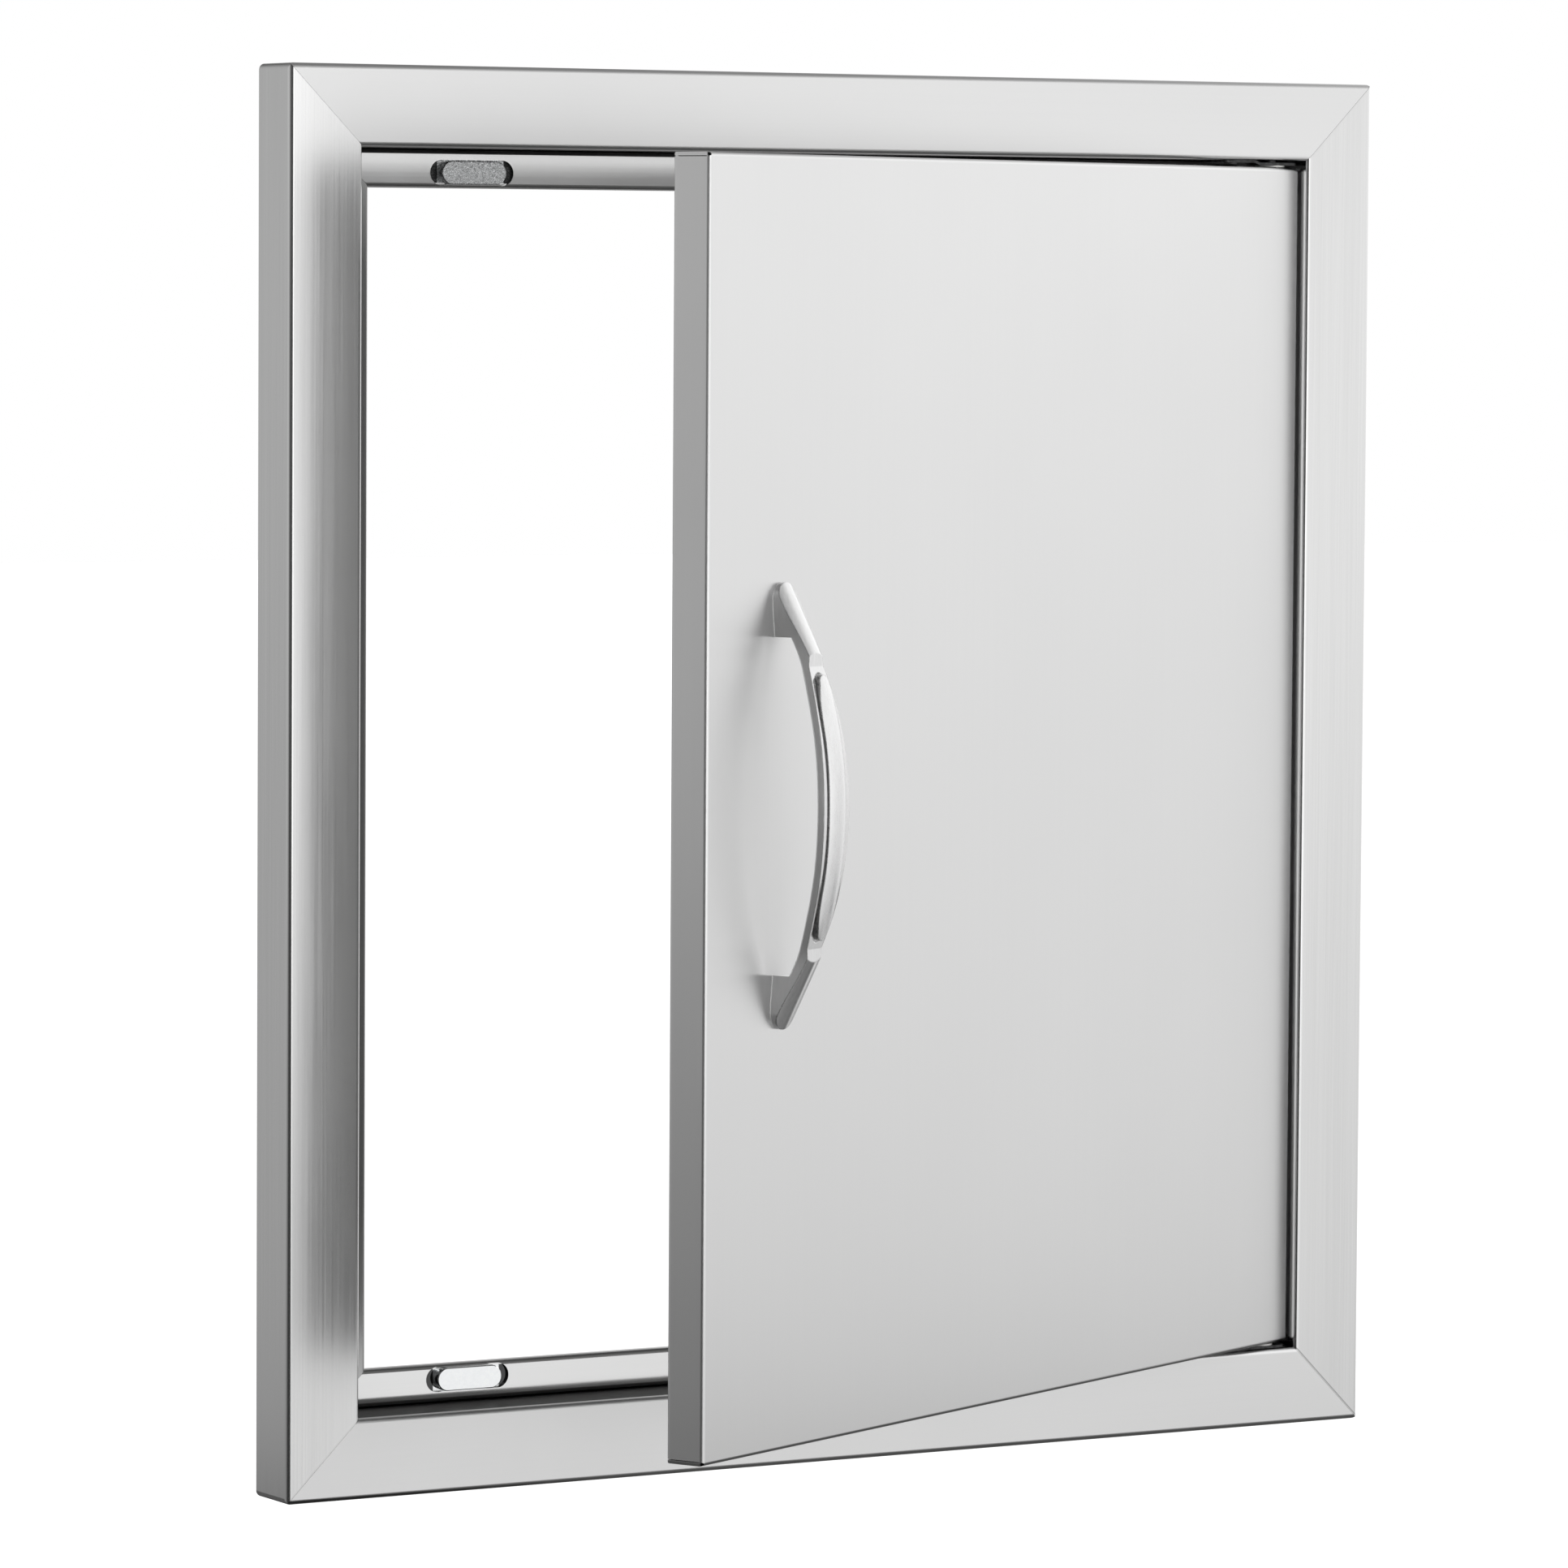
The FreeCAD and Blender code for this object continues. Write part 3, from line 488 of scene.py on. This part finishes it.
def galvanised(
    name,
    tones=(0.70, 0.95),
    roughness=(0.28, 0.50),
    relief=0.6,
    size=900.0,
    span=None,
    lean=0.0,
):
    """Zinc-plated sheet with grainy crystals that catch the light differently. Outside
    the span across, where it lies in its slot, it gets a dark painted shade. With a lean,
    the front faces slightly down."""
    nodes = Nodes(name)
    crystals = nodes.add("ShaderNodeTexVoronoi", {"Vector": nodes.place(), "Scale": size})
    split = nodes.add("ShaderNodeSeparateColor", {"Color": crystals.outputs["Color"]})
    grain = nodes.noise((2500.0, 2500.0, 2500.0), detail=3.0)
    tone = nodes.ramp(split.outputs["Red"], 0.0, 1.0, *tones)
    if span:
        middle, half = sum(span) / 2, (span[1] - span[0]) / 2
        away = nodes.apart(nodes.axes()["X"], middle)
        # Painted shade in the slot, outside the cup
        slot_shade = nodes.ramp(away, half, half + SLOT_BLUR, 1.0, SLOT_SHADE_TONE)
        tone = nodes.product(tone, slot_shade)
    rough = nodes.ramp(split.outputs["Green"], 0.0, 1.0, *roughness)
    nodes.surface(tone, rough, (0.985, 1.0, 1.01))
    grain = nodes.product(grain, CRYSTAL_GRAIN)
    height = nodes.math("ADD", split.outputs["Blue"], grain)
    height = nodes.product(height, CRYSTAL_HEIGHT * relief)
    if lean:
        height = nodes.math("ADD", height, nodes.product(nodes.axes()["Z"], lean))
    nodes.bump(height)
    return nodes.material


def plain_metal(name, shade, roughness):
    """Turned and headed steel of pins, screws and rivets."""
    nodes = Nodes(name)
    turning = nodes.noise((350.0, 350.0, 1800.0), detail=3.0)
    tone = nodes.spread(turning, shade - 0.04, shade + 0.04)
    worn = nodes.product(nodes.edges(HEAD_REACH), HEAD_SHINE)
    tone = nodes.math("ADD", tone, worn)
    nodes.surface(tone, nodes.spread(turning, roughness - 0.05, roughness + 0.06))
    nodes.bump(turning, 0.00003, 0.3)
    return nodes.material


def moulded_nylon(name):
    nodes = Nodes(name)
    skin = nodes.noise((700.0, 700.0, 700.0), detail=3.0)
    tone, rough = nodes.spread(skin, 0.56, 0.62), nodes.spread(skin, 0.45, 0.58)
    nodes.surface(tone, rough, (1.0, 0.995, 0.97), metallic=0.0)
    nodes.bump(skin, 0.00004, 0.3)
    return nodes.material


def sintered_ferrite(name):
    nodes = Nodes(name)
    grains = nodes.noise((1600.0, 1600.0, 1600.0), detail=4.0)
    tone, rough = nodes.spread(grains, 0.03, 0.07), nodes.spread(grains, 0.5, 0.7)
    nodes.surface(tone, rough, metallic=0.0)
    nodes.bump(grains, 0.0001, 0.4)
    return nodes.material


def catch_span(magnet):
    """The span across of the catch's cup, which holds the magnet."""
    low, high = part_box(magnet)
    wall = low[1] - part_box(magnet.replace("magnet", "housing"))[0][1]
    return (low[0] - wall - CATCH_FIT, high[0] + wall + CATCH_FIT)


def finish_nodes():
    """Every node of the frame gets the finish of the piece it is."""
    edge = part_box("frame_right_stile")[1][0]
    opening, jamb = (corner[0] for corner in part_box("stop_right"))
    gap, sill = (corner[2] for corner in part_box("stop_top"))
    cup = catch_span("catch_magnet_top")
    stile_bend = ("X", jamb, edge, STILE_FALL)
    # The jambs get a painted shade: dark at the left, top and bottom, faint at the right
    left = brushed_steel(
        "brushed_left", UPRIGHT, roughness=0.20, contrast=0.9, jamb_shade=0.16, bend=stile_bend
    )
    right = brushed_steel(
        "brushed_right", UPRIGHT, roughness=0.20, contrast=0.8, jamb_shade=0.9, bend=stile_bend
    )
    top = brushed_steel("brushed_top", LEVEL, contrast=0.15, jamb_shade=0.14)
    # The bottom rail's tone is raised to 0.84 as painted light, against the shade low in
    # front
    bottom = brushed_steel(
        "brushed_bottom",
        LEVEL,
        shade=0.84,
        contrast=0.15,
        jamb_shade=0.12,
        foot=("frame_bottom_rail", FRAME_FOOT_SHADE),
    )
    top_stop = brushed_steel(
        "brushed_top_stop",
        LEVEL,
        roughness=0.15,
        contrast=0.3,
        bend=("Z", gap, sill, STOP_FALL / 3),
    )
    bottom_stop = brushed_steel(
        "brushed_bottom_stop", LEVEL, shade=0.79, roughness=0.08, contrast=0.3
    )
    # The upright stops get a darker tone, 0.50, as painted shade in the recess
    upright_stop = brushed_steel(
        "brushed_upright_stop",
        UPRIGHT,
        shade=0.50,
        roughness=0.22,
        contrast=0.3,
        bend=("X", jamb, opening, STOP_FALL),
    )
    # The door's lower bend gets a painted shade
    door_face = brushed_steel(
        "brushed_door",
        UPRIGHT,
        shade=0.82,
        contrast=0.12,
        foot=("door_skin", DOOR_FOOT_SHADE),
        sweep=0.8,
    )
    mill = mill_steel("mill_finish")
    liner = mill_steel("liner_finish", field=True)
    zinc = galvanised("zinc_plate")
    dark_zinc = galvanised("dark_zinc", tones=(0.04, 0.08))
    # Both catch housings get a painted shade in their slots, outside the cup
    speckled = galvanised(
        "speckled_zinc",
        tones=(0.58, 1.0),
        roughness=(0.15, 0.50),
        relief=0.5,
        size=2600.0,
        span=cup,
    )
    blank_zinc = galvanised(
        "blank_zinc",
        tones=(0.97, 1.0),
        roughness=(0.06, 0.09),
        relief=0.01,
        span=cup,
        lean=CATCH_LEAN,
    )
    casting = polished_casting("polished_pull", 0.82, 0.11, PULL_EDGE)
    inlay = polished_casting("satin_inlay", 0.82, 0.28, INLAY_EDGE)
    blackened = plain_metal("blackened_steel", 0.08, 0.40)
    fastener = plain_metal("plain_fastener", 0.70, 0.32)
    nylon = moulded_nylon("white_nylon")
    ferrite = sintered_ferrite("dark_ferrite")
    finishes = {
        "frame_left_stile": left,
        "frame_right_stile": right,
        "frame_top_rail": top,
        "frame_bottom_rail": bottom,
        "stop_left": upright_stop,
        "stop_right": upright_stop,
        "stop_top": top_stop,
        "stop_bottom": bottom_stop,
        "door_skin": door_face,
        "door_liner": liner,
        "door_stiffener": mill,
        "pivot_plate_top": dark_zinc,
        "pivot_plate_bottom": dark_zinc,
        "handle_bow": casting,
        "handle_inlay": inlay,
        "catch_housing_top": speckled,
        "catch_housing_bottom": blank_zinc,
        "catch_magnet_top": ferrite,
        "catch_magnet_bottom": ferrite,
        "pivot_bush_top": nylon,
        "pivot_bush_bottom": nylon,
        "pivot_washer_top": nylon,
        "pivot_washer_bottom": nylon,
        "strike_rivets": fastener,
        "pivot_plate_rivets": blackened,
        "pivot_pin_top": blackened,
        "pivot_pin_bottom": blackened,
        "handle_screws": fastener,
    }
    for name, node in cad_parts.items():
        node.data.materials.clear()
        node.data.materials.append(finishes.get(name, zinc))


def stage_object(name, made, material):
    """A piece of the stage round the object, from its bmesh."""
    mesh = bpy.data.meshes.new(name)
    made.to_mesh(mesh)
    made.free()
    mesh.materials.append(material)
    piece = bpy.data.objects.new(name, mesh)
    bpy.context.collection.objects.link(piece)
    return piece


def make_floor():
    """A pale floor below the door, bright enough to meet the white behind it."""
    nodes = Nodes("pale_floor")
    inputs = nodes.shader.inputs
    inputs["Base Color"].default_value = (FLOOR_TONE, FLOOR_TONE, FLOOR_TONE, 1)
    inputs["Roughness"].default_value = FLOOR_ROUGHNESS
    path = nodes.add("ShaderNodeLightPath").outputs
    seen = nodes.math("MAXIMUM", path["Is Camera Ray"], path["Is Glossy Ray"])
    seen = nodes.math("MAXIMUM", seen, path["Is Transmission Ray"])
    inputs["Emission Color"].default_value = (1, 1, 1, 1)
    nodes.join(nodes.product(seen, FLOOR_GLOW), inputs["Emission Strength"])
    made = bmesh.new()
    bmesh.ops.create_grid(made, x_segments=1, y_segments=1, size=FLOOR_SIZE)
    bmesh.ops.translate(made, verts=made.verts, vec=(0, 0, FLOOR_HEIGHT))
    stage_object("floor", made, nodes.material)


def make_light_tent():
    """A cloth tent round the door, which only reflections show: a soft lamp behind the
    cloth in front, white cloth at the right, and grey at the left, behind and above."""
    nodes = Nodes("tent_cloth")
    axes = nodes.axes()
    across, inwards, height = (axes[axis] for axis in "XYZ")
    forwards = nodes.product(inwards, -1.0)
    turn = nodes.math("DEGREES", nodes.math("ARCTAN2", forwards, across))
    deep = nodes.product(nodes.apart(inwards), TENT_SINK_DEEP)
    wide = nodes.product(nodes.apart(across), TENT_RISE_WIDE)
    shift = nodes.math("SUBTRACT", deep, wide)
    shift = nodes.math("ADD", shift, nodes.product(across, TENT_TILT_RIGHT))
    shifted = nodes.math("ADD", height, shift)
    shade = nodes.product(
        nodes.ramp(height, *SHADE_HEIGHTS, 0.0, SHADE_DEPTH),
        nodes.ramp(turn, *SHADE_TURNS, 0.0, 1.0),
    )
    ground = nodes.math(
        "MAXIMUM", nodes.curve(forwards, GROUND_FRONT), nodes.curve(across, GROUND_RIGHT)
    )
    above = nodes.ramp(height, *GROUND_BLEND, 0.0, 1.0)
    level = nodes.product(
        nodes.curve(turn, TENT_ROUND),
        nodes.curve(shifted, TENT_UPWARDS),
        nodes.math("SUBTRACT", 1.0, shade),
        nodes.math("MAXIMUM", ground, above),
    )
    glow = nodes.add("ShaderNodeEmission", {"Color": nodes.grey(level), "Strength": 1.0})
    output = nodes.tree.nodes["Material Output"]
    nodes.join(glow.outputs["Emission"], output.inputs["Surface"])
    nodes.material.cycles.emission_sampling = "NONE"
    made = bmesh.new()
    bmesh.ops.create_icosphere(made, subdivisions=TENT_FACETING, radius=TENT_RADIUS)
    for vert in made.verts:
        vert.co.z = max(vert.co.z, TENT_FOOT)
    tent = stage_object("light_tent", made, nodes.material)
    tent.visible_camera = False
    tent.visible_diffuse = False
    tent.visible_transmission = False
    tent.visible_volume_scatter = False
    tent.visible_shadow = False


def add_softbox(name, place, size, power):
    """A rectangular lamp that faces the object's middle."""
    data = bpy.data.lights.new(name, "AREA")
    data.shape = "RECTANGLE"
    data.size, data.size_y = size
    data.energy = power
    lamp = bpy.data.objects.new(name, data)
    bpy.context.collection.objects.link(lamp)
    turn = (-Vector(place)).to_track_quat("-Z", "Y").to_matrix().to_4x4()
    lamp.matrix_world = Matrix.Translation(place) @ turn


def make_world():
    world = bpy.data.worlds.new("white_studio")
    world.use_nodes = True
    background = world.node_tree.nodes["Background"]
    background.inputs["Color"].default_value = (1, 1, 1, 1)
    background.inputs["Strength"].default_value = 1.0
    bpy.context.scene.world = world


def main():
    place_camera()
    bpy.context.scene.view_settings.view_transform = "Standard"
    finish_nodes()
    make_floor()
    make_light_tent()
    make_world()
    for name, (place, size, power) in SOFTBOXES.items():
        add_softbox(name, place, size, power)


main()
